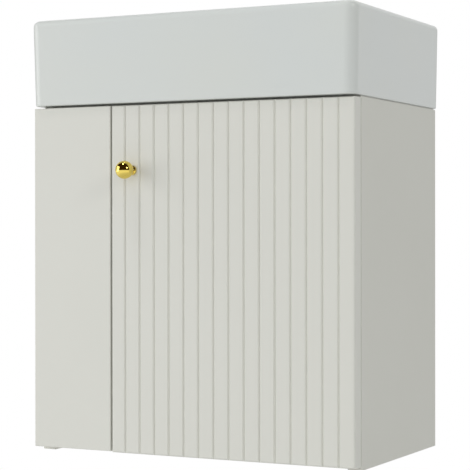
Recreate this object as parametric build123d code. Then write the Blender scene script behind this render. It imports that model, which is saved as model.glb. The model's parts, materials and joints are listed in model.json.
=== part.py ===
from build123d import *
import math
import os

os.makedirs("parts", exist_ok=True)

# A wall-hung vanity unit: a ceramic basin on a cabinet with a fixed panel and one grooved door.
# The frame has x to the right, y to the wall and z up. The origin lies on the wall plane, in the
# middle of the four wall bolts. All lengths are in millimetres and all angles in degrees.

# Carcass
cabinet_width = 394
cabinet_height = 390
carcass_depth = 224
board = 16
board_edge_radius = 0.8
bottom_panel_lift = 4
front_rail_depth = 60
hanging_rail_height = 80
lower_rail_height = 60
stile_depth = 60
stile_overlap = 9
wall_bolt_spacing_x = 280
wall_bolt_hole = 8

# Fronts
front_gap = 2
fixed_panel_width = 100
door_thickness = 16
door_back_gap = 2
door_top_reveal = 1
door_bottom_reveal = 4
panel_bottom_reveal = 5
door_edge_radius = 2
panel_edge_radius = 0.8
plank_count = 16
groove_width = 3.6
groove_depth = groove_width / 2

# Basin
basin_width = 400
basin_height = 97
basin_front_overhang = 6
basin_draft = 2
basin_corner_radius = 12
basin_top_radius = 7
basin_bottom_radius = 1.5
basin_wall = 8
basin_front_land = 38
basin_side_land = 20
basin_back_land = 12
bowl_rim = 16
bowl_depth = 78
bowl_draft = 10
bowl_corner_radius = 26
bowl_floor_radius = 16
bowl_lip_radius = 4
tap_ledge_depth = 62
tap_ledge_thickness = 14
tap_hole = 35
waste_hole = 45
waste_seat = 66
waste_seat_depth = 3
waste_boss = 70
overflow_drop = 28
overflow_hole = 22
duct_width = 18
duct_depth = 6
duct_floor = 3.5
duct_wall = 5
seal_thickness = 1.5
seal_width = 12
seal_inset = 1.5

# Overflow ring
ring_flange = 30
ring_thickness = 1.6
ring_bore = 17
ring_neck_length = 4

# Knob and its screw
knob_plank = 2
knob_height = 313
knob_ball = 20
knob_projection = 27
knob_neck = 8
knob_base = 11
knob_base_height = 3
knob_base_chamfer = 0.8
knob_screw = 4
knob_screw_head = 8
knob_screw_head_height = 2.5
knob_screw_grip = 9

# Dowels, cams and cam bolts
hole_clearance = 0.1
dowel = 8
dowel_length = 30
dowel_in_side = 11
dowel_chamfer = 1
dowel_end_room = 0.5
cam = 15
cam_height = 12.5
cam_chamfer = 0.5
cam_distance = 24
cam_slot = 7
bolt_thread = 6
bolt_shank = 5
bolt_neck = 3.4
bolt_neck_length = 6.5
bolt_room = 0.3
bolt_head = 6.4
bolt_head_length = 3
bolt_hole = 7
bolt_in_side = 11
first_from_edge = 16
second_from_edge = 44
bottom_dowel_front_edge = 76
bottom_dowel_back_edge = 82
bottom_cam_back_edge = 50
rail_joint_edge = 20
lower_dowel_edge = 14
lower_cam_edge = 16

# Screws, brackets and bumpers
screw = 3.5
screw_head = 7
screw_head_height = 2
screw_length = 13
screw_tip = 0.8
cross_width = 0.9
cross_depth = 1.2
cross_span = 4
bracket_leg = 18
bracket_width = 16
bracket_thickness = 2
bracket_hole = 11
bracket_from_top = 60
bracket_from_base = 65
bumper = 7
bumper_gap = 0.3
bumper_edge = 0.5
bumper_from_rail = 24
bumper_from_bottom = 20

# Hinges. A place in the hinge's plan is (u, v): u from the door's outer edge, negative inwards, and
# v from the door's front face to the wall. Heights are from the hinge's middle.
hinge_from_end = 65
cup = 35
cup_u = -20.5
cup_floor = 4.5
cup_wall = 1
cup_flange = 1.2
cup_flange_top = door_thickness + cup_flange
cup_wing_inset = 8
cup_wing_width = 14
cup_wing_span = 60
cup_wing_corner = 5
cup_screw_inset = 8
cup_screw_spread = 24
cheek_start = -14
cheek_top = 16.4
cheek_inner = 6.2
cheek_outer = 8.6
cup_pin = 2
arm_pin = 2.5
pin_clearance = 0.05
pin_head = 4
pin_head_height = 0.6
outer_link_arm = (-32.99, 32)
outer_link_bends = [(-21, 15.9), (-15, 15.4)]
outer_link_cup = (-7.48, 14.74)
inner_link_arm = (-27.143, 9.239)
inner_link_bend = (-24, 7)
inner_link_bridge = (-18, 8.5)
inner_link_eye = (-10.774, 10.338)
inner_link_cup = (-10.853, 11.325)
strip_thickness = 1.5
strip_half = 3.5
arm_eye = 4.4
arm_eye_half = 8.8
cup_eye = 4
plate_link_width = 2
plate_inner = 4.2
plate_outer = 5.7
open_eye = 5.6
open_eye_hole = 4.2
arm_inner = 9
arm_outer = 10.5
arm_nose = 4.8
arm_back = -36
arm_end = 72
web_front = 36
arm_outline = [
    (-24.75, 9.24), (-27, 26), (-26, 44), (-19.3, 50),
    (-19.3, 72), (-36, 72), (-36, 32), (-29.55, 9.24),
]
fixing_screw = 5
fixing_screw_v = 64
adjusting_screw = 4
adjusting_screw_v = 54
machine_head_share = 1.6
machine_head_height = 2.2
machine_screw_length = 9
plate_base = -3
plate_v = 55
plate_wing_width = 14
plate_wing_half = 22
plate_corner = 4
plate_screw_spread = 16
plate_block_half = 8.7
plate_block_front = 50

# Places worked out from the sizes above
left = -cabinet_width / 2
right = cabinet_width / 2
inner_left = left + board
inner_right = right - board
wall_bolt_drop = hanging_rail_height / 2
wall_bolt_rise = bottom_panel_lift + board + lower_rail_height / 2
wall_bolt_spacing_z = cabinet_height - wall_bolt_drop - wall_bolt_rise
top_z = wall_bolt_spacing_z / 2 + wall_bolt_drop
base_z = top_z - cabinet_height
carcass_front = -carcass_depth
door_back = carcass_front - door_back_gap
front_y = door_back - door_thickness
panel_right = left + fixed_panel_width
door_left = panel_right + front_gap
door_top = top_z - door_top_reveal
door_bottom = base_z + door_bottom_reveal
panel_bottom = base_z + panel_bottom_reveal
bottom_panel_low = base_z + bottom_panel_lift
bottom_panel_top = bottom_panel_low + board
lower_rail_top = bottom_panel_top + lower_rail_height
front_rail_low = top_z - board
hanging_rail_low = top_z - hanging_rail_height
stile_right = door_left + stile_overlap
stile_left = stile_right - board
stile_x = (stile_left + stile_right) / 2
bumper_x = (door_left + stile_right) / 2
basin_low = top_z + seal_thickness
basin_top = basin_low + basin_height
basin_front = front_y - basin_front_overhang
bowl_front = basin_front + bowl_rim
bowl_back = -tap_ledge_depth
bowl_floor = basin_top - bowl_depth
waste_y = (bowl_front + bowl_back) / 2
overflow_z = basin_top - overflow_drop
plank_pitch = (right - door_left + front_gap / 2) / plank_count
knob_x = door_left - front_gap / 2 + (knob_plank - 0.5) * plank_pitch
knob_z = door_bottom + knob_height
sides = (-1, 1)
hinge_heights = (door_top - hinge_from_end, door_bottom + hinge_from_end)
bracket_heights = (top_z - bracket_from_top, base_z + bracket_from_base)
bumper_heights = (front_rail_low - bumper_from_rail, bottom_panel_top + bumper_from_bottom)
stile_dowels = (carcass_front + first_from_edge, carcass_front + second_from_edge)

# Joints of the carcass, each as a y and a z on a side panel
mid_bottom = bottom_panel_low + board / 2
mid_rail = top_z - board / 2
mid_upright = -board / 2
dowel_places = [
    (carcass_front + bottom_dowel_front_edge, mid_bottom),
    (-bottom_dowel_back_edge, mid_bottom),
    (carcass_front + first_from_edge, mid_rail),
    (mid_upright, top_z - rail_joint_edge),
    (mid_upright, lower_rail_top - lower_dowel_edge),
]
flat_cams = [
    (carcass_front + second_from_edge, mid_bottom),
    (-bottom_cam_back_edge, mid_bottom),
    (carcass_front + second_from_edge, mid_rail),
]
upright_cams = [
    (mid_upright, hanging_rail_low + rail_joint_edge),
    (mid_upright, bottom_panel_top + lower_cam_edge),
]

# Brackets: the board face that each one stands on, the way its foot points, and its height
bracket_places = [
    (x, way, z) for x, way in ((inner_left, 1), (stile_left, -1)) for z in bracket_heights
]

upwards = (Align.CENTER, Align.CENTER, Align.MIN)
downwards = (Align.CENTER, Align.CENTER, Align.MAX)


def block(low, high):
    """A box between two opposite corners."""
    size = [b - a for a, b in zip(low, high)]
    middle = [(a + b) / 2 for a, b in zip(low, high)]
    return Pos(*middle) * Box(*size)


def rod(start, direction, diameter, length):
    """A round bar from a start point along a direction."""
    return Plane(origin=start, z_dir=direction) * Cylinder(diameter / 2, length, align=upwards)


def cross_recess(top):
    """The cross-shaped recess of a screw or a cam, sunk from a height."""
    cross = Box(cross_span, cross_width, cross_depth, align=downwards)
    cross += Box(cross_width, cross_span, cross_depth, align=downwards)
    return Pos(0, 0, top) * cross


def outline(width, front, back, z, front_radius, back_radius=0):
    """A rectangle at a height, with its own corner radii at the front and at the back."""
    middle = (front + back) / 2
    face = Pos(0, middle, z) * Rectangle(width, back - front)
    corners = face.vertices().group_by(Axis.Y)
    if back_radius:
        face = fillet(corners[-1], back_radius)
        corners = face.vertices().group_by(Axis.Y)
    return fillet(corners[0], front_radius)


def basin_body():
    """The drafted outer form of the basin, flat to the wall, with rounded corners and rim."""
    foot_width = basin_width - 2 * basin_draft
    foot = outline(foot_width, basin_front + basin_draft, 0, basin_low, basin_corner_radius)
    rim = outline(basin_width, basin_front, 0, basin_top, basin_corner_radius)
    body = loft([foot, rim])
    top_edges = body.edges().group_by(Axis.Z)[-1].sort_by(Axis.Y)[:-1]
    body = fillet(top_edges, basin_top_radius)
    foot_edges = body.edges().group_by(Axis.Z)[0].sort_by(Axis.Y)[:-1]
    return fillet(foot_edges, basin_bottom_radius)


def bowl_space():
    """The hollow of the bowl: drafted walls that turn into the floor on a radius."""
    width = basin_width - 2 * bowl_rim
    corner = bowl_corner_radius
    floor_front = bowl_front + bowl_draft
    floor_back = bowl_back - bowl_draft
    floor = outline(width - 2 * bowl_draft, floor_front, floor_back, bowl_floor, corner, corner)
    mouth = outline(width, bowl_front, bowl_back, basin_top, corner, corner)
    space = loft([floor, mouth])
    return fillet(space.edges().group_by(Axis.Z)[0], bowl_floor_radius)


def basin_underside():
    """The open underside: a shallow recess under the bowl and a deep one under the tap ledge."""
    half = basin_width / 2 - basin_side_land
    floor_low = bowl_floor - basin_wall
    front = basin_front + basin_front_land
    ledge_low = basin_top - tap_ledge_thickness
    shallow = block((-half, front, basin_low), (half, -basin_back_land, floor_low))
    deep = block((-half, bowl_back + basin_wall, basin_low), (half, -basin_back_land, ledge_low))
    recess = shallow + deep
    recess = fillet(recess.edges().filter_by(Axis.Z), basin_wall)
    boss = rod((0, waste_y, basin_low), (0, 0, 1), waste_boss, floor_low - basin_low)
    rib_half = duct_width / 2 + duct_wall
    rib = block((-rib_half, front, basin_low), (rib_half, waste_y, floor_low))
    return recess - boss - rib


def overflow_frame():
    """The plane of the overflow hole on the bowl's sloping front wall, facing into the bowl."""
    fall = bowl_draft / bowl_depth
    on_wall = (0, bowl_front + overflow_drop * fall, overflow_z)
    return Plane(origin=on_wall, z_dir=(0, 1, fall))


def overflow_duct():
    """The passage from the overflow hole down inside the front wall and back to the waste hole."""
    half = duct_width / 2
    back = bowl_front - duct_wall
    front = back - duct_depth
    low = basin_low + duct_floor
    drop = block((-half, front, low), (half, back, overflow_z + overflow_hole / 2))
    run = block((-half, front, low), (half, waste_y, low + duct_depth))
    inlet = overflow_frame() * Cylinder(overflow_hole / 2, 4 * bowl_draft)
    inlet &= block((-overflow_hole, front, bowl_floor), (overflow_hole, waste_y, basin_top))
    return drop + run + inlet


def basin():
    body = basin_body() - bowl_space()
    lip = body.edges().group_by(Axis.Z)[-1]
    lip = [edge for edge in lip if bowl_front - 1 < edge.center().Y < bowl_back + 1]
    lip = [edge for edge in lip if abs(edge.center().X) < basin_width / 2 - bowl_rim / 2]
    body = fillet(lip, bowl_lip_radius)
    body -= basin_underside()
    ledge_low = basin_top - tap_ledge_thickness
    body -= rod((0, bowl_back / 2, ledge_low), (0, 0, 1), tap_hole, tap_ledge_thickness)
    body -= rod((0, waste_y, basin_low), (0, 0, 1), waste_hole, basin_height)
    body -= rod((0, waste_y, bowl_floor - waste_seat_depth), (0, 0, 1), waste_seat, basin_height)
    return body - overflow_duct()


def seal():
    """The silicone frame that the basin rests on."""
    half = cabinet_width / 2 - seal_inset
    front = carcass_front + seal_inset
    ring = block((-half, front, top_z), (half, -seal_inset, basin_low))
    hole_low = (seal_width - half, front + seal_width, top_z)
    hole_high = (half - seal_width, -seal_inset - seal_width, basin_low)
    return ring - block(hole_low, hole_high)


def overflow_ring():
    """The metal ring that lines the overflow hole."""
    ring = Cylinder(ring_flange / 2, ring_thickness, align=upwards)
    ring = fillet(ring.edges().group_by(Axis.Z)[-1], ring_thickness / 2)
    ring += Cylinder(overflow_hole / 2 - hole_clearance, ring_neck_length, align=downwards)
    ring -= Cylinder(ring_bore / 2, 2 * overflow_hole)
    return overflow_frame() * ring


def inner_face(side):
    return side * (cabinet_width / 2 - board)


def cam_plane(side, y, z, upright):
    """The plane of a cam's open face. Its x axis points to the side panel."""
    outward = (0, -1, 0) if upright else (0, 0, -1)
    x = inner_face(side) - side * cam_distance
    face = (x, y - board / 2, z) if upright else (x, y, z - board / 2)
    return Plane(origin=face, x_dir=(side, 0, 0), z_dir=outward)


all_cams = [cam_plane(side, y, z, False) for side in sides for y, z in flat_cams]
all_cams += [cam_plane(side, y, z, True) for side in sides for y, z in upright_cams]


def cam_bore():
    """The hole for a cam together with the hole for its bolt."""
    bore = Cylinder(cam / 2, cam_height, align=downwards)
    return bore + rod((0, 0, -board / 2), (1, 0, 0), bolt_hole, cam_distance)


def cam_body():
    """A cam with the chamber for a bolt's head, its entry and the slot for the bolt's neck."""
    body = Cylinder(cam / 2 - hole_clearance, cam_height - hole_clearance, align=downwards)
    body = chamfer(body.edges().group_by(Axis.Z)[-1], cam_chamfer)
    half = cam_slot / 2
    neck = bolt_neck / 2 + bolt_room
    body -= Pos(0, 0, -board / 2) * Box(cam_slot, cam_slot, cam_slot)
    body -= block((0, -neck, -board / 2 - neck), (cam, neck, -board / 2 + neck))
    body -= block((-half, -cam, -board / 2 - half), (half, 0, -board / 2 + half))
    return body - cross_recess(0)


def cam_bolt():
    """A cam bolt: head in the cam, neck, shank and the thread in the side panel."""
    head_start = -bolt_head_length / 2
    shank_start = bolt_neck_length - head_start
    bolt = rod((head_start, 0, 0), (1, 0, 0), bolt_head, bolt_head_length)
    bolt += rod((0, 0, 0), (1, 0, 0), bolt_neck, shank_start)
    bolt += rod((shank_start, 0, 0), (1, 0, 0), bolt_shank, cam_distance - shank_start)
    bolt += rod((cam_distance, 0, 0), (1, 0, 0), bolt_thread, bolt_in_side)
    return Pos(0, 0, -board / 2) * bolt


def dowel_axes():
    """The outer end and the direction of every dowel."""
    axes = []
    for side in sides:
        for y, z in dowel_places:
            axes.append(((inner_face(side) + side * dowel_in_side, y, z), (-side, 0, 0)))
    for y in stile_dowels:
        axes.append(((stile_x, y, bottom_panel_top - dowel_in_side), (0, 0, 1)))
        axes.append(((stile_x, y, front_rail_low + dowel_in_side), (0, 0, -1)))
    return axes


def dowel_bar():
    bar = Cylinder(dowel / 2, dowel_length, align=upwards)
    return chamfer(bar.edges().filter_by(GeomType.CIRCLE), dowel_chamfer)


def dowel_holes():
    """The holes of all dowels, with room around the bars and at both ends."""
    hole = Cylinder(dowel / 2 + hole_clearance, dowel_length + 2 * dowel_end_room, align=upwards)
    hole = Pos(0, 0, -dowel_end_room) * hole
    return [Plane(origin=start, z_dir=way) * hole for start, way in dowel_axes()]


def bolt_holes():
    """The holes for the bolts' threads in the side panels."""
    width = bolt_thread + 2 * hole_clearance
    holes = []
    for side in sides:
        for y, z in flat_cams + upright_cams:
            holes.append(rod((inner_face(side), y, z), (side, 0, 0), width, bolt_in_side))
    return holes


def wall_bolt_holes():
    holes = []
    for x in (-wall_bolt_spacing_x / 2, wall_bolt_spacing_x / 2):
        for z in (-wall_bolt_spacing_z / 2, wall_bolt_spacing_z / 2):
            holes.append(rod((x, -board, z), (0, 1, 0), wall_bolt_hole, board))
    return holes


def carve(body, cutters):
    """Takes from a board only the cutters whose boxes reach into it."""
    box = body.bounding_box()
    for cutter in cutters:
        other = cutter.bounding_box()
        ranges = zip(box.min, box.max, other.min, other.max)
        if all(low < other_high and other_low < high for low, high, other_low, other_high in ranges):
            body -= cutter
    return body


def board_holes():
    return dowel_holes() + [plane * cam_bore() for plane in all_cams] + wall_bolt_holes()


def side_panel(side):
    """A side panel with the holes for dowels, cam bolts, brackets and hinge plates."""
    outer = side * cabinet_width / 2
    low = (min(outer, inner_face(side)), carcass_front, base_z)
    high = (max(outer, inner_face(side)), 0, top_z)
    body = block(low, high)
    body = fillet(body.edges().filter_by(Axis.Z).group_by(Axis.Y)[0], board_edge_radius)
    return carve(body, dowel_holes() + bolt_holes() + bracket_pilots() + plate_pilots())


def bottom_panel():
    body = block((inner_left, carcass_front, bottom_panel_low), (inner_right, 0, bottom_panel_top))
    body = fillet(body.edges().filter_by(Axis.X).group_by(Axis.Y)[0], board_edge_radius)
    return carve(body, board_holes())


def front_rail():
    back = carcass_front + front_rail_depth
    body = block((inner_left, carcass_front, front_rail_low), (inner_right, back, top_z))
    body = fillet(body.edges().filter_by(Axis.X).group_by(Axis.Y)[0], board_edge_radius)
    return carve(body, board_holes())


def hanging_rail():
    body = block((inner_left, -board, hanging_rail_low), (inner_right, 0, top_z))
    return carve(body, board_holes())


def lower_rail():
    body = block((inner_left, -board, bottom_panel_top), (inner_right, 0, lower_rail_top))
    return carve(body, board_holes())


def stile():
    low = (stile_left, carcass_front, bottom_panel_top)
    high = (stile_right, carcass_front + stile_depth, front_rail_low)
    body = block(low, high)
    body = fillet(body.edges().filter_by(Axis.Z), board_edge_radius)
    return carve(body, dowel_holes() + bracket_pilots())


def panel():
    """The fixed panel beside the door, flush with it."""
    body = block((left, front_y, panel_bottom), (panel_right, carcass_front, door_top))
    body = fillet(body.faces().sort_by(Axis.Y)[0].edges(), panel_edge_radius)
    return carve(body, bracket_pilots())


def screw_body():
    """A pan-head screw that goes down from the zero plane."""
    head = Cylinder(screw_head / 2, screw_head_height, align=upwards)
    head = fillet(head.edges().group_by(Axis.Z)[-1], screw_head_height / 2)
    shaft = Cylinder(screw / 2, screw_length, align=downwards)
    shaft = chamfer(shaft.edges().group_by(Axis.Z)[0], screw_tip)
    return head + shaft - cross_recess(screw_head_height)


def bracket_planes(x, way, z):
    """The free faces of a bracket's two legs, at their holes."""
    on_board = (x + way * bracket_thickness, carcass_front + bracket_hole, z)
    on_panel = (x + way * bracket_hole, carcass_front + bracket_thickness, z)
    return [Plane(origin=on_board, z_dir=(way, 0, 0)), Plane(origin=on_panel, z_dir=(0, 1, 0))]


def bracket(x, way, z):
    """An L-bracket that ties the fixed panel to a board."""
    body = Box(bracket_leg, bracket_leg, bracket_width, align=(Align.MIN, Align.MIN, Align.CENTER))
    room = Pos(bracket_thickness, bracket_thickness, 0)
    body -= room * Box(bracket_leg, bracket_leg, bracket_width, align=(Align.MIN, Align.MIN, Align.CENTER))
    if way < 0:
        body = mirror(body, about=Plane.YZ)
    body = Pos(x, carcass_front, z) * body
    hole = Cylinder(screw / 2 + hole_clearance, 3 * bracket_thickness)
    for plane in bracket_planes(x, way, z):
        body -= plane * hole
    return body


def all_bracket_planes():
    return [plane for place in bracket_places for plane in bracket_planes(*place)]


def pilot_hole():
    return Cylinder(screw / 2 + hole_clearance, screw_length + screw_tip, align=downwards)


def bracket_pilots():
    return [plane * pilot_hole() for plane in all_bracket_planes()]


def bumpers():
    """Soft stops on the stile's front edge, just short of the closed door."""
    stop = Cylinder(bumper / 2, door_back_gap - bumper_gap, align=upwards)
    stop = fillet(stop.edges().group_by(Axis.Z)[-1], bumper_edge)
    places = [(bumper_x, carcass_front, z) for z in bumper_heights]
    return [Plane(origin=place, z_dir=(0, -1, 0)) * stop for place in places]


def door():
    """The door: rounded at the front, with a groove between each two planks."""
    body = block((door_left, front_y, door_bottom), (right, door_back, door_top))
    body = fillet(body.faces().sort_by(Axis.Y)[0].edges(), door_edge_radius)
    cutter_side = groove_depth * math.sqrt(2)
    cutter = Rot(0, 0, 45) * Box(cutter_side, cutter_side, cabinet_height)
    for number in range(1, plank_count):
        x = door_left - front_gap / 2 + number * plank_pitch
        body -= Pos(x, front_y, (door_top + door_bottom) / 2) * cutter
    width = knob_screw + 2 * hole_clearance
    body -= rod((knob_x, front_y, knob_z), (0, 1, 0), width, door_thickness)
    return carve(body, door_hinge_bores())


def knob():
    """A ball on a short neck with a round base, threaded from the back."""
    on_door = (knob_x, front_y, knob_z)
    ball_y = front_y - knob_projection + knob_ball / 2
    body = Pos(knob_x, ball_y, knob_z) * Sphere(knob_ball / 2)
    body += rod(on_door, (0, -1, 0), knob_neck, front_y - ball_y)
    base = Cylinder(knob_base / 2, knob_base_height, align=upwards)
    base = chamfer(base.edges().group_by(Axis.Z)[-1], knob_base_chamfer)
    body += Plane(origin=on_door, z_dir=(0, -1, 0)) * base
    thread_hole = knob_screw + 2 * hole_clearance
    return body - rod(on_door, (0, -1, 0), thread_hole, knob_screw_grip + dowel_end_room)


def knob_fixing():
    """The screw that goes through the door into the knob."""
    head = Cylinder(knob_screw_head / 2, knob_screw_head_height, align=upwards)
    head = fillet(head.edges().group_by(Axis.Z)[-1], knob_screw_head_height / 3)
    head -= cross_recess(knob_screw_head_height)
    shaft = Cylinder(knob_screw / 2, door_thickness + knob_screw_grip, align=downwards)
    return Plane(origin=(knob_x, door_back, knob_z), z_dir=(0, 1, 0)) * (head + shaft)


def plan(point):
    """A place in a hinge's plan, from the door's outer front edge to the frame's x and y."""
    return (right + point[0], front_y + point[1])


def plan_box(low, high, half_height):
    """A box given by two corners in a hinge's plan and half its height."""
    return block((*plan(low), -half_height), (*plan(high), half_height))


def pin(point, diameter, half_height):
    return rod((*plan(point), -half_height), (0, 0, 1), diameter, 2 * half_height)


def strip(points, thickness, half_height):
    """A bent strip on edge along a line of points in a hinge's plan."""
    face = trace(Polyline(*[plan(point) for point in points]), thickness)
    return extrude(face, amount=half_height, both=True)


def both_layers(body, low, high):
    """The parts of a body between two heights, above and below the hinge's middle."""
    reach = 4 * cup
    layer = Box(reach, reach, high - low)
    middle = Pos(*plan((cup_u, cup_flange_top)), (low + high) / 2)
    above = body & (middle * layer)
    return above + mirror(above, about=Plane.XY)


def cup_screw_planes():
    place = (cup_u - cup_screw_inset, cup_flange_top)
    return [
        Plane(origin=(*plan(place), z), z_dir=(0, 1, 0)) for z in (-cup_screw_spread, cup_screw_spread)
    ]


def hinge_cup():
    """The cup with its screw wings and the two cheeks that hold the pins."""
    floor = Plane(origin=(*plan((cup_u, cup_floor)), 0), z_dir=(0, 1, 0))
    depth = cup_flange_top - cup_floor
    body = floor * Cylinder(cup / 2, depth, align=upwards)
    wing_place = (*plan((cup_u - cup_wing_inset, door_thickness)), 0)
    wing_middle = Plane(origin=wing_place, x_dir=(1, 0, 0), z_dir=(0, 1, 0))
    wing = extrude(RectangleRounded(cup_wing_width, cup_wing_span, cup_wing_corner), cup_flange)
    body += wing_middle * wing
    inside = Cylinder(cup / 2 - cup_wall, depth, align=upwards)
    body -= floor * Pos(0, 0, cup_wall) * inside
    cheek_low = (cheek_start, cup_floor + cup_wall)
    cheek_high = (cup_u + cup / 2, cheek_top)
    cheeks = both_layers(plan_box(cheek_low, cheek_high, cheek_outer), cheek_inner, cheek_outer)
    body += cheeks & (floor * Cylinder(cup / 2, depth, align=upwards))
    for place in (outer_link_cup, inner_link_cup):
        body -= pin(place, cup_pin, cheek_outer)
    for plane in cup_screw_planes():
        body -= plane * Cylinder(screw / 2 + hole_clearance, 3 * cup_flange)
    return body


def cup_pins():
    return [pin(place, cup_pin, cheek_outer) for place in (outer_link_cup, inner_link_cup)]


def outer_link():
    """The long link: a bent strip with an eye on the arm's rear pin and one on the cup's outer pin."""
    body = strip([outer_link_arm, *outer_link_bends, outer_link_cup], strip_thickness, strip_half)
    body += pin(outer_link_arm, arm_eye, arm_eye_half)
    body += pin(outer_link_cup, cup_eye, strip_half)
    body -= pin(outer_link_arm, arm_pin + 2 * pin_clearance, arm_eye_half)
    return body - pin(outer_link_cup, cup_pin + 2 * pin_clearance, strip_half)


def inner_link():
    """The short link: two plates with a bridge, and a wide eye that leaves the inner cup pin room."""
    shape = strip([inner_link_arm, inner_link_bend, inner_link_eye], plate_link_width, plate_outer)
    shape += pin(inner_link_arm, arm_eye, plate_outer)
    shape += pin(inner_link_eye, open_eye, plate_outer)
    shape -= pin(inner_link_arm, arm_pin + 2 * pin_clearance, plate_outer)
    shape -= pin(inner_link_eye, open_eye_hole, plate_outer)
    body = both_layers(shape, plate_inner, plate_outer)
    return body + strip([inner_link_bend, inner_link_bridge], strip_thickness, plate_inner)


def hinge_arm():
    """The arm: a channel whose two sides run forward as ears that hold the pins."""
    ears = make_face(Polyline(*[plan(point) for point in arm_outline], close=True))
    ears += Pos(*plan(inner_link_arm)) * Circle(arm_nose / 2)
    body = both_layers(extrude(ears, amount=arm_outer, both=True), arm_inner, arm_outer)
    web_low = (arm_back, web_front)
    web_high = (arm_back + strip_thickness, arm_end)
    body += plan_box(web_low, web_high, arm_outer)
    slot_low = (arm_back, fixing_screw_v)
    slot_high = (arm_back + strip_thickness, arm_end)
    body -= plan_box(slot_low, slot_high, fixing_screw / 2 + hole_clearance)
    for plane, width in ((fixing_plane(), fixing_screw), (adjusting_plane(), adjusting_screw)):
        body -= plane * Cylinder(width / 2 + hole_clearance, 3 * strip_thickness)
    for place in (outer_link_arm, inner_link_arm):
        body -= pin(place, arm_pin + 2 * pin_clearance, arm_outer)
    return body


def arm_pins():
    """The arm's two pins, with a low head at each end."""
    pins = []
    for place in (outer_link_arm, inner_link_arm):
        body = pin(place, arm_pin, arm_outer)
        for way in (-1, 1):
            body += rod((*plan(place), way * arm_outer), (0, 0, way), pin_head, pin_head_height)
        pins.append(body)
    return pins


def fixing_plane():
    return Plane(origin=(*plan((arm_back, fixing_screw_v)), 0), z_dir=(-1, 0, 0))


def adjusting_plane():
    return Plane(origin=(*plan((arm_back, adjusting_screw_v)), 0), z_dir=(-1, 0, 0))


def arm_screws():
    """The screw that fixes the arm to its plate and the one that adjusts it."""
    screws = []
    for plane, width in ((fixing_plane(), fixing_screw), (adjusting_plane(), adjusting_screw)):
        head = Cylinder(width * machine_head_share / 2, machine_head_height, align=upwards)
        head = chamfer(head.edges().group_by(Axis.Z)[-1], cam_chamfer)
        shaft = Cylinder(width / 2, machine_screw_length, align=downwards)
        screws.append(plane * (head + shaft - cross_recess(machine_head_height)))
    return screws


def plate_screw_planes():
    place = (plate_base - board, plate_v)
    return [
        Plane(origin=(*plan(place), z), z_dir=(-1, 0, 0))
        for z in (-plate_screw_spread, plate_screw_spread)
    ]


def mounting_plate():
    """The plate on the side panel: two screw wings and the block that carries the arm."""
    wing_half = plate_wing_width / 2
    low = (plate_base - board, plate_v - wing_half)
    body = plan_box(low, (-board, plate_v + wing_half), plate_wing_half)
    body = fillet(body.edges().filter_by(Axis.X), plate_corner)
    base_low = (plate_base - board, web_front)
    body += plan_box(base_low, (-board, arm_end), plate_block_half)
    block_low = (arm_back + strip_thickness + hole_clearance, plate_block_front)
    body += plan_box(block_low, (-board, arm_end), plate_block_half)
    for plane, width in ((fixing_plane(), fixing_screw), (adjusting_plane(), adjusting_screw)):
        hole = Cylinder(width / 2 + hole_clearance, machine_screw_length + screw_tip, align=downwards)
        body -= plane * hole
    for plane in plate_screw_planes():
        body -= plane * pilot_hole()
    return body


def raised(bodies, height):
    return [Pos(0, 0, height) * body for body in bodies]


def plate_pilots():
    """The holes of the hinge plates' screws in the right side panel."""
    holes = [plane * pilot_hole() for plane in plate_screw_planes()]
    return [hole for height in hinge_heights for hole in raised(holes, height)]


def door_hinge_bores():
    """The cup holes and the cup screws' holes in the door."""
    back = Plane(origin=(*plan((cup_u, door_thickness)), 0), z_dir=(0, 1, 0))
    depth = door_thickness - cup_floor + hole_clearance
    bores = [back * Cylinder(cup / 2 + hole_clearance, depth, align=downwards)]
    bores += [plane * pilot_hole() for plane in cup_screw_planes()]
    return [bore for height in hinge_heights for bore in raised(bores, height)]


def hinge_pieces(height, name):
    """The nodes of one hinge, at its own height."""
    pieces = {
        "hinge_cup": [hinge_cup()],
        "cup_pins": cup_pins(),
        "outer_link": [outer_link()],
        "inner_link": [inner_link()],
        "hinge_arm": [hinge_arm()],
        "arm_pins": arm_pins(),
        "arm_screws": arm_screws(),
        "mounting_plate": [mounting_plate()],
    }
    return {f"{piece}_{name}": raised(bodies, height) for piece, bodies in pieces.items()}


def hinge_screws(planes):
    screws = [plane * screw_body() for plane in planes]
    return [body for height in hinge_heights for body in raised(screws, height)]


pieces = {
    "basin": [basin()],
    "basin_seal": [seal()],
    "overflow_ring": [overflow_ring()],
    "left_side_panel": [side_panel(-1)],
    "right_side_panel": [side_panel(1)],
    "bottom_panel": [bottom_panel()],
    "front_rail": [front_rail()],
    "hanging_rail": [hanging_rail()],
    "lower_rail": [lower_rail()],
    "door_stile": [stile()],
    "fixed_panel": [panel()],
    "panel_brackets": [bracket(*place) for place in bracket_places],
    "bracket_screws": [plane * screw_body() for plane in all_bracket_planes()],
    "carcass_dowels": [Plane(origin=start, z_dir=way) * dowel_bar() for start, way in dowel_axes()],
    "cam_bolts": [plane * cam_bolt() for plane in all_cams],
    "cams": [plane * cam_body() for plane in all_cams],
    "door_bumpers": bumpers(),
    "door": [door()],
    "knob": [knob()],
    "knob_screw": [knob_fixing()],
    "cup_screws": hinge_screws(cup_screw_planes()),
    "plate_screws": hinge_screws(plate_screw_planes()),
}
for height, name in zip(hinge_heights, ("upper", "lower")):
    pieces.update(hinge_pieces(height, name))

for name, bodies in pieces.items():
    solids = [solid for body in bodies for solid in body.solids()]
    shape = solids[0] if len(solids) == 1 else Compound(children=solids)
    export_step(shape, f"parts/{name}.step")
    print(name, len(solids))
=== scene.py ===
import json
import math

import bpy
import numpy as np
from mathutils import Matrix, Vector

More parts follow.
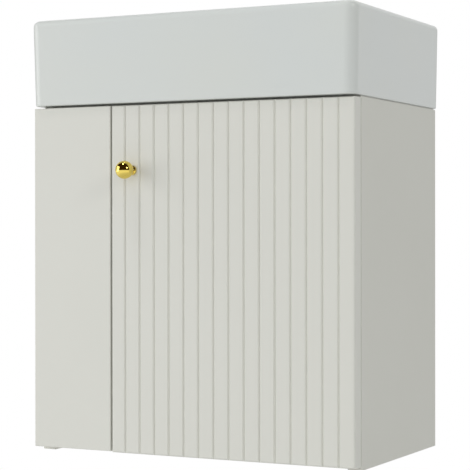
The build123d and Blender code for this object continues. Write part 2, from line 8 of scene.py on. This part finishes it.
# Looks of a wall-hung vanity unit: glazed basin, white fronts and boards, gilt ball knob.
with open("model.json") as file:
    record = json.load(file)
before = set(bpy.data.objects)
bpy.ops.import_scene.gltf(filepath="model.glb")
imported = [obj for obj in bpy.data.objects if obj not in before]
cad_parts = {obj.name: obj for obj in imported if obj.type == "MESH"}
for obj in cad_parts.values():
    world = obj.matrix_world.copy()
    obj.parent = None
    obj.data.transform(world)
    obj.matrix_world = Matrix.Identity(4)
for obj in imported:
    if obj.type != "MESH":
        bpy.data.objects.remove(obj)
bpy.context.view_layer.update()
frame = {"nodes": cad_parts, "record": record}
scene = bpy.context.scene
mm = 0.001


def linearColour(hexColour):  # an sRGB hex colour as linear red, green, blue and alpha
    channels = [int(hexColour[i : i + 2], 16) / 255 for i in (1, 3, 5)]
    curve = [c / 12.92 if c <= 0.04045 else ((c + 0.055) / 1.055) ** 2.4 for c in channels]
    return (*curve, 1.0)


def addNode(tree, kind, settings=None, links=None):
    # Adds a node. A setting is a property, or an input by its name or number; a link is an output.
    node = tree.nodes.new(kind)
    for name, value in (settings or {}).items():
        if isinstance(name, str) and hasattr(node, name):
            setattr(node, name, value)
        else:
            node.inputs[name].default_value = value
    for name, output in (links or {}).items():
        tree.links.new(output, node.inputs[name])
    return node


def newMaterial(name):  # an empty material and its tree
    material = bpy.data.materials.new(name)
    material.use_nodes = True
    material.node_tree.nodes.clear()
    return material, material.node_tree


# In the finishes, sizes and depths are in millimetres, and a detail is a noise's count of finer layers.
# Vitreous china under a clear glaze: an even soft gloss, a faint cool drift of tone where the glaze
# is thicker, and a shallow ripple that only the reflections show.
glaze = {
    "thick": "#E0E5E4", "thin": "#E3E6E0", "driftSize": 140, "rippleSize": 14, "rippleDepth": 0.012,
    "roughness": 0.4, "ior": 1.5, "coat": 0.3, "coatRoughness": 0.14,
    "pinholeSize": 1.1, "pinholeDepth": 0.002,
}


def makeGlaze():
    material, tree = newMaterial("vitreous china, glazed")
    place = addNode(tree, "ShaderNodeTexCoord").outputs["Object"]
    drift = addNode(
        tree, "ShaderNodeTexNoise", {"Scale": 1 / (glaze["driftSize"] * mm)}, {"Vector": place}
    )
    tone = addNode(
        tree, "ShaderNodeMix",
        {"data_type": "RGBA", "A": linearColour(glaze["thick"]), "B": linearColour(glaze["thin"])},
        {"Factor": drift.outputs["Fac"]},
    )
    pinholes = addNode(
        tree, "ShaderNodeTexNoise", {"Scale": 1 / (glaze["pinholeSize"] * mm)}, {"Vector": place}
    )
    skin = addNode(
        tree, "ShaderNodeBump", {"Distance": glaze["pinholeDepth"] * mm},
        {"Height": pinholes.outputs["Fac"]},
    )
    ripple = addNode(
        tree, "ShaderNodeTexNoise", {"Scale": 1 / (glaze["rippleSize"] * mm)}, {"Vector": place}
    )
    waves = addNode(
        tree, "ShaderNodeBump", {"Distance": glaze["rippleDepth"] * mm},
        {"Height": ripple.outputs["Fac"]},
    )
    shader = addNode(
        tree, "ShaderNodeBsdfPrincipled",
        {
            "Roughness": glaze["roughness"], "IOR": glaze["ior"], "Coat Weight": glaze["coat"],
            "Coat Roughness": glaze["coatRoughness"],
        },
        {
            "Base Color": tone.outputs["Result"], "Normal": skin.outputs["Normal"],
            "Coat Normal": waves.outputs["Normal"],
        },
    )
    addNode(tree, "ShaderNodeOutputMaterial", {}, {"Surface": shader.outputs["BSDF"]})
    return material


# Sprayed polyurethane lacquer on the fronts, satin: warm white with a fine orange peel. The boards
# of the carcass have a melamine face in the same tone, with a flatter, more even grain.
lacquer = {
    "name": "polyurethane lacquer, satin", "light": "#E7E7DF", "dark": "#E4E4DC", "driftSize": 110,
    "roughness": 0.46, "roughnessDrift": 0.05, "peelSize": 1.6, "peelDepth": 0.006, "specks": 0.35,
}
melamine = {
    "name": "melamine faced board, satin", "light": "#E4E4DC", "dark": "#E0E0D7", "driftSize": 150,
    "roughness": 0.52, "roughnessDrift": 0.04, "peelSize": 0.9, "peelDepth": 0.008, "specks": 0.5,
}
coating = {"ior": 1.48, "hazeSize": 25, "driftDetail": 3.0, "hazeDetail": 2.0, "peelDetail": 4.0}  # of both


def makePaint(paint):
    material, tree = newMaterial(paint["name"])
    place = addNode(tree, "ShaderNodeTexCoord").outputs["Object"]
    drift = addNode(
        tree, "ShaderNodeTexNoise",
        {"Scale": 1 / (paint["driftSize"] * mm), "Detail": coating["driftDetail"]}, {"Vector": place},
    )
    tone = addNode(
        tree, "ShaderNodeMix",
        {"data_type": "RGBA", "A": linearColour(paint["light"]), "B": linearColour(paint["dark"])},
        {"Factor": drift.outputs["Fac"]},
    )
    low, high = paint["roughness"] - paint["roughnessDrift"], paint["roughness"] + paint["roughnessDrift"]
    haze = addNode(
        tree, "ShaderNodeTexNoise",
        {"Scale": 1 / (coating["hazeSize"] * mm), "Detail": coating["hazeDetail"]}, {"Vector": place},
    )
    satin = addNode(
        tree, "ShaderNodeMapRange", {"To Min": low, "To Max": high}, {"Value": haze.outputs["Fac"]}
    )
    peel = addNode(
        tree, "ShaderNodeTexNoise",
        {
            "Scale": 1 / (paint["peelSize"] * mm), "Detail": coating["peelDetail"],
            "Roughness": paint["specks"],
        },
        {"Vector": place},
    )
    skin = addNode(
        tree, "ShaderNodeBump", {"Distance": paint["peelDepth"] * mm}, {"Height": peel.outputs["Fac"]}
    )
    shader = addNode(
        tree, "ShaderNodeBsdfPrincipled", {"IOR": coating["ior"]},
        {
            "Base Color": tone.outputs["Result"], "Roughness": satin.outputs["Result"],
            "Normal": skin.outputs["Normal"],
        },
    )
    addNode(tree, "ShaderNodeOutputMaterial", {}, {"Surface": shader.outputs["BSDF"]})
    return material


# Metals, each with the unevenness of its finish: gold plating is a mirror with a few soft hazes,
# chrome is colder and harder, nickel is warm and rolled, zinc plate is bluish with a cloudy lustre,
# cast zinc is grey and pitted.
gilt = {
    "name": "gold plating, polished", "light": "#F2DC78", "dark": "#E8CC60", "cloudSize": 7,
    "roughness": 0.055, "haze": 0.05, "grainSize": 2.0, "grainDepth": 0.0015,
}
chrome = {
    "name": "chrome plating, polished", "light": "#DDE0E3", "dark": "#D4D8DC", "cloudSize": 9,
    "roughness": 0.05, "haze": 0.04, "grainSize": 3.0, "grainDepth": 0.0015,
}
nickel = {
    "name": "pressed steel, nickel plated", "light": "#CBC7BD", "dark": "#BDB8AC", "cloudSize": 5,
    "roughness": 0.2, "haze": 0.12, "grainSize": 0.8, "grainDepth": 0.004,
}
zincPlate = {
    "name": "turned steel, zinc plated", "light": "#C3C8CC", "dark": "#AEB4B9", "cloudSize": 3,
    "roughness": 0.26, "haze": 0.16, "grainSize": 0.7, "grainDepth": 0.004,
}
castZinc = {
    "name": "cast zinc, tumbled", "light": "#A9ABAD", "dark": "#93969A", "cloudSize": 4,
    "roughness": 0.4, "haze": 0.2, "grainSize": 0.6, "grainDepth": 0.015,
}
unevenness = {"cloudDetail": 3.0, "grainDetail": 4.0}  # of each metal


def makeMetal(metal):
    material, tree = newMaterial(metal["name"])
    place = addNode(tree, "ShaderNodeTexCoord").outputs["Object"]
    clouds = addNode(
        tree, "ShaderNodeTexNoise",
        {"Scale": 1 / (metal["cloudSize"] * mm), "Detail": unevenness["cloudDetail"]}, {"Vector": place},
    )
    tone = addNode(
        tree, "ShaderNodeMix",
        {"data_type": "RGBA", "A": linearColour(metal["light"]), "B": linearColour(metal["dark"])},
        {"Factor": clouds.outputs["Fac"]},
    )
    low, high = metal["roughness"], metal["roughness"] + metal["haze"]
    finish = addNode(
        tree, "ShaderNodeMapRange", {"To Min": low, "To Max": high}, {"Value": clouds.outputs["Fac"]}
    )
    grain = addNode(
        tree, "ShaderNodeTexNoise",
        {"Scale": 1 / (metal["grainSize"] * mm), "Detail": unevenness["grainDetail"]}, {"Vector": place},
    )
    skin = addNode(
        tree, "ShaderNodeBump", {"Distance": metal["grainDepth"] * mm}, {"Height": grain.outputs["Fac"]}
    )
    shader = addNode(
        tree, "ShaderNodeBsdfPrincipled", {"Metallic": 1.0},
        {
            "Base Color": tone.outputs["Result"], "Roughness": finish.outputs["Result"],
            "Normal": skin.outputs["Normal"],
        },
    )
    addNode(tree, "ShaderNodeOutputMaterial", {}, {"Surface": shader.outputs["BSDF"]})
    return material


# Turned beech of the dowels: pale brown, with fine darker flecks drawn out along X.
beech = {
    "light": "#DDBF92", "dark": "#B58E5B", "fleckWidth": 0.9, "fleckStretch": 8, "fleckDetail": 5.0,
    "roughness": 0.62, "poreDepth": 0.04,
}


def makeBeech():
    material, tree = newMaterial("beech, turned")
    place = addNode(tree, "ShaderNodeTexCoord").outputs["Object"]
    stretched = addNode(
        tree, "ShaderNodeMapping", {"Scale": (1 / beech["fleckStretch"], 1.0, 1.0)}, {"Vector": place}
    )
    flecks = addNode(
        tree, "ShaderNodeTexNoise",
        {"Scale": 1 / (beech["fleckWidth"] * mm), "Detail": beech["fleckDetail"]},
        {"Vector": stretched.outputs["Vector"]},
    )
    tone = addNode(
        tree, "ShaderNodeMix",
        {"data_type": "RGBA", "A": linearColour(beech["light"]), "B": linearColour(beech["dark"])},
        {"Factor": flecks.outputs["Fac"]},
    )
    pores = addNode(
        tree, "ShaderNodeBump", {"Distance": beech["poreDepth"] * mm}, {"Height": flecks.outputs["Fac"]}
    )
    shader = addNode(
        tree, "ShaderNodeBsdfPrincipled", {"Roughness": beech["roughness"]},
        {"Base Color": tone.outputs["Result"], "Normal": pores.outputs["Normal"]},
    )
    addNode(tree, "ShaderNodeOutputMaterial", {}, {"Surface": shader.outputs["BSDF"]})
    return material


# Silicone of the seal and soft rubber of the door stops: milky, slightly see-through at the edges.
silicone = {
    "name": "silicone, cured white", "light": "#DCDBD5", "dark": "#D2D1CA", "roughness": 0.42, "milk": 0.2,
}
rubber = {
    "name": "soft rubber, milky", "light": "#E0E0DB", "dark": "#D6D6D0", "roughness": 0.34, "milk": 0.35,
}
elastic = {"ior": 1.41, "milkDepth": 1.5, "cloudSize": 6, "skinSize": 0.7, "skinDepth": 0.01}  # of both


def makeSoft(soft):
    material, tree = newMaterial(soft["name"])
    place = addNode(tree, "ShaderNodeTexCoord").outputs["Object"]
    clouds = addNode(
        tree, "ShaderNodeTexNoise", {"Scale": 1 / (elastic["cloudSize"] * mm)}, {"Vector": place}
    )
    tone = addNode(
        tree, "ShaderNodeMix",
        {"data_type": "RGBA", "A": linearColour(soft["light"]), "B": linearColour(soft["dark"])},
        {"Factor": clouds.outputs["Fac"]},
    )
    skinNoise = addNode(
        tree, "ShaderNodeTexNoise", {"Scale": 1 / (elastic["skinSize"] * mm)}, {"Vector": place}
    )
    skin = addNode(
        tree, "ShaderNodeBump", {"Distance": elastic["skinDepth"] * mm},
        {"Height": skinNoise.outputs["Fac"]},
    )
    shader = addNode(
        tree, "ShaderNodeBsdfPrincipled",
        {
            "Roughness": soft["roughness"], "IOR": elastic["ior"], "Subsurface Weight": soft["milk"],
            "Subsurface Radius": (1.0, 1.0, 1.0), "Subsurface Scale": elastic["milkDepth"] * mm,
        },
        {"Base Color": tone.outputs["Result"], "Normal": skin.outputs["Normal"]},
    )
    addNode(tree, "ShaderNodeOutputMaterial", {}, {"Surface": shader.outputs["BSDF"]})
    return material


finishes = {
    "ceramic": makeGlaze(), "white_lacquer": makePaint(lacquer), "white_board": makePaint(melamine),
    "gold": makeMetal(gilt), "chrome": makeMetal(chrome), "nickel": makeMetal(nickel),
    "bright_steel": makeMetal(zincPlate), "zinc": makeMetal(castZinc), "beech": makeBeech(),
    "silicone": makeSoft(silicone), "bumper_rubber": makeSoft(rubber),
}
slotOf = {entry["node"]: entry["material_slot"] for entry in frame["record"]["subparts"]}
for name, node in frame["nodes"].items():
    node.data.materials.clear()
    node.data.materials.append(finishes[slotOf[name]])
print("finishes on", len(frame["nodes"]), "nodes")

# Camera, fitted to the object's edges: turned from a view along +Y by yaw, pitch and roll, in radians.
# Lens and sensor are in millimetres, all other lengths from here on in metres.
view = {
    "place": (0.8450, -1.7963, 0.0518), "yaw": 0.4684, "pitch": -0.0035, "roll": -0.0008,
    "lens": 124.86, "sensor": 36.0, "clipEnd": 20.0,
}
yaw, pitch, roll = view["yaw"], view["pitch"], view["roll"]
ahead = Vector((-math.sin(yaw) * math.cos(pitch), math.cos(yaw) * math.cos(pitch), math.sin(pitch)))
level = Vector((math.cos(yaw), math.sin(yaw), 0.0))
upright = level.cross(ahead)
across = level * math.cos(roll) + upright * math.sin(roll)
top = upright * math.cos(roll) - level * math.sin(roll)
camera = bpy.data.objects.new("camera", bpy.data.cameras.new("camera"))
camera.data.lens = view["lens"]
camera.data.sensor_width = view["sensor"]
camera.data.clip_end = view["clipEnd"]
facing = Matrix((across, top, -ahead)).transposed().to_4x4()
camera.matrix_world = Matrix.Translation(view["place"]) @ facing
scene.collection.objects.link(camera)
scene.camera = camera

# Studio light: a wide soft box from the left, a weaker one in front that shows in no reflection,
# and two small ones, to the right and overhead. All face a point in the unit.
lamps = {
    "softboxLeft": {"place": (-3.3, -2.0, 0.7), "size": (3.0, 3.0), "watts": 60, "colour": "#FFFFFF"},
    "softboxFront": {
        "place": (1.0, -4.0, 1.0), "size": (2.2, 2.2), "watts": 19, "colour": "#FFFFFF", "mirrored": False,
    },
    "softboxRight": {"place": (2.4, -1.3, 1.3), "size": (0.6, 0.6), "watts": 9, "colour": "#FFFEF8"},
    "overhead": {"place": (-0.3, -0.9, 2.4), "size": (0.6, 0.25), "watts": 7, "colour": "#FFFFFF"},
}
facedPoint = Vector((0.0, -0.12, 0.05))
for name, lamp in lamps.items():
    data = bpy.data.lights.new(name, "AREA")
    data.shape = "RECTANGLE"
    data.size, data.size_y = lamp["size"]
    data.energy = lamp["watts"]
    data.color = linearColour(lamp["colour"])[:3]
    light = bpy.data.objects.new(name, data)
    light.visible_glossy = lamp.get("mirrored", True)
    turn = (Vector(lamp["place"]) - facedPoint).to_track_quat("Z", "Y").to_matrix().to_4x4()
    light.matrix_world = Matrix.Translation(lamp["place"]) @ turn
    scene.collection.objects.link(light)

# Background: white where the camera, a reflection or glass looks, a paler glow on the object.
studio = {"white": "#FFFFFF", "whiteStrength": 1.0, "glow": "#FAFBFD", "glowStrength": 0.45}
world = bpy.data.worlds.new("studio")
scene.world = world
world.use_nodes = True
world.node_tree.nodes.clear()


def seenDirectly(tree):  # 1 for camera, glossy and transmission rays, otherwise 0
    path = addNode(tree, "ShaderNodeLightPath")
    both = addNode(
        tree, "ShaderNodeMath", {"operation": "MAXIMUM"},
        {0: path.outputs["Is Camera Ray"], 1: path.outputs["Is Glossy Ray"]},
    )
    return addNode(
        tree, "ShaderNodeMath", {"operation": "MAXIMUM"},
        {0: both.outputs["Value"], 1: path.outputs["Is Transmission Ray"]},
    ).outputs["Value"]


white = addNode(
    world.node_tree, "ShaderNodeBackground",
    {"Color": linearColour(studio["white"]), "Strength": studio["whiteStrength"]},
)
glow = addNode(
    world.node_tree, "ShaderNodeBackground",
    {"Color": linearColour(studio["glow"]), "Strength": studio["glowStrength"]},
)
pick = addNode(
    world.node_tree, "ShaderNodeMixShader", {},
    {0: seenDirectly(world.node_tree), 1: glow.outputs["Background"], 2: white.outputs["Background"]},
)
addNode(world.node_tree, "ShaderNodeOutputWorld", {}, {"Surface": pick.outputs["Shader"]})

# Floor: a pale disc below the unit that keeps its shadow and fades to the white of the background.
floorDisc = {
    "height": -0.56, "radius": 1.5, "fadeFrom": 0.55, "fadeTo": 1.4, "colour": "#F3F3F1", "sides": 96,
}


def discMesh(name, radius, height, sides):  # a ring of points at equal angles on a circle, as one face
    angle = np.linspace(0.0, 2 * math.pi, sides, endpoint=False)
    points = np.stack([radius * np.cos(angle), radius * np.sin(angle), np.full(sides, height)], axis=1)
    mesh = bpy.data.meshes.new(name)
    mesh.from_pydata(points.tolist(), [], [list(range(sides))])
    return mesh


def makeFloor():
    material, tree = newMaterial("floor, matt white")
    place = addNode(tree, "ShaderNodeTexCoord").outputs["Object"]
    flat = addNode(tree, "ShaderNodeVectorMath", {"operation": "MULTIPLY", 1: (1.0, 1.0, 0.0)}, {0: place})
    reach = addNode(tree, "ShaderNodeVectorMath", {"operation": "LENGTH"}, {0: flat.outputs["Vector"]})
    fade = addNode(
        tree, "ShaderNodeMapRange", {"From Min": floorDisc["fadeFrom"], "From Max": floorDisc["fadeTo"]},
        {"Value": reach.outputs["Value"]},
    )
    share = addNode(
        tree, "ShaderNodeMath", {"operation": "MULTIPLY"},
        {0: fade.outputs["Result"], 1: seenDirectly(tree)},
    )
    matt = addNode(tree, "ShaderNodeBsdfDiffuse", {"Color": linearColour(floorDisc["colour"])})
    bright = addNode(
        tree, "ShaderNodeEmission",
        {"Color": linearColour(studio["white"]), "Strength": studio["whiteStrength"]},
    )
    blend = addNode(
        tree, "ShaderNodeMixShader", {},
        {0: share.outputs["Value"], 1: matt.outputs["BSDF"], 2: bright.outputs["Emission"]},
    )
    addNode(tree, "ShaderNodeOutputMaterial", {}, {"Surface": blend.outputs["Shader"]})
    return material


floor = bpy.data.objects.new(
    "floor", discMesh("floor", floorDisc["radius"], floorDisc["height"], floorDisc["sides"])
)
floor.data.materials.append(makeFloor())
scene.collection.objects.link(floor)

# Flag: a dark dome from just below the horizon to the top, open to the back, that only reflections
# show. It gives the polished metal its dark upper half.
flag = {
    "radius": 6.0, "low": -4.0, "high": 90.0, "spread": 125.0, "rows": 20, "columns": 48,
    "colour": "#4A3418", "strength": 0.5,
}


def domeMesh(name, radius, low, high, spread, rows, columns):
    # A part of a sphere, on a grid of angle above the horizon and turn to both sides of the front.
    height = np.radians(np.linspace(low, high, rows))[:, None]
    turn = np.radians(np.linspace(-spread, spread, columns))[None, :]
    x = radius * np.cos(height) * np.sin(turn)
    y = -radius * np.cos(height) * np.cos(turn)
    z = radius * np.sin(height) * np.ones_like(turn)
    points = np.stack([x, y, z], axis=-1).reshape(-1, 3)
    corner = (np.arange(rows - 1)[:, None] * columns + np.arange(columns - 1)[None, :]).ravel()
    faces = np.stack([corner, corner + 1, corner + columns + 1, corner + columns], axis=1)
    mesh = bpy.data.meshes.new(name)
    mesh.from_pydata(points.tolist(), [], faces.tolist())
    return mesh


dome = domeMesh(
    "flag", flag["radius"], flag["low"], flag["high"], flag["spread"], flag["rows"], flag["columns"]
)
screen = bpy.data.objects.new("flag", dome)
cloth, clothTree = newMaterial("black-out cloth")
dark = addNode(
    clothTree, "ShaderNodeEmission", {"Color": linearColour(flag["colour"]), "Strength": flag["strength"]}
)
addNode(clothTree, "ShaderNodeOutputMaterial", {}, {"Surface": dark.outputs["Emission"]})
screen.data.materials.append(cloth)
screen.visible_camera = False
screen.visible_diffuse = False
screen.visible_shadow = False
screen.visible_transmission = False
scene.collection.objects.link(screen)

scene.view_settings.view_transform = "Standard"
print("camera, lamps, background, floor and flag")
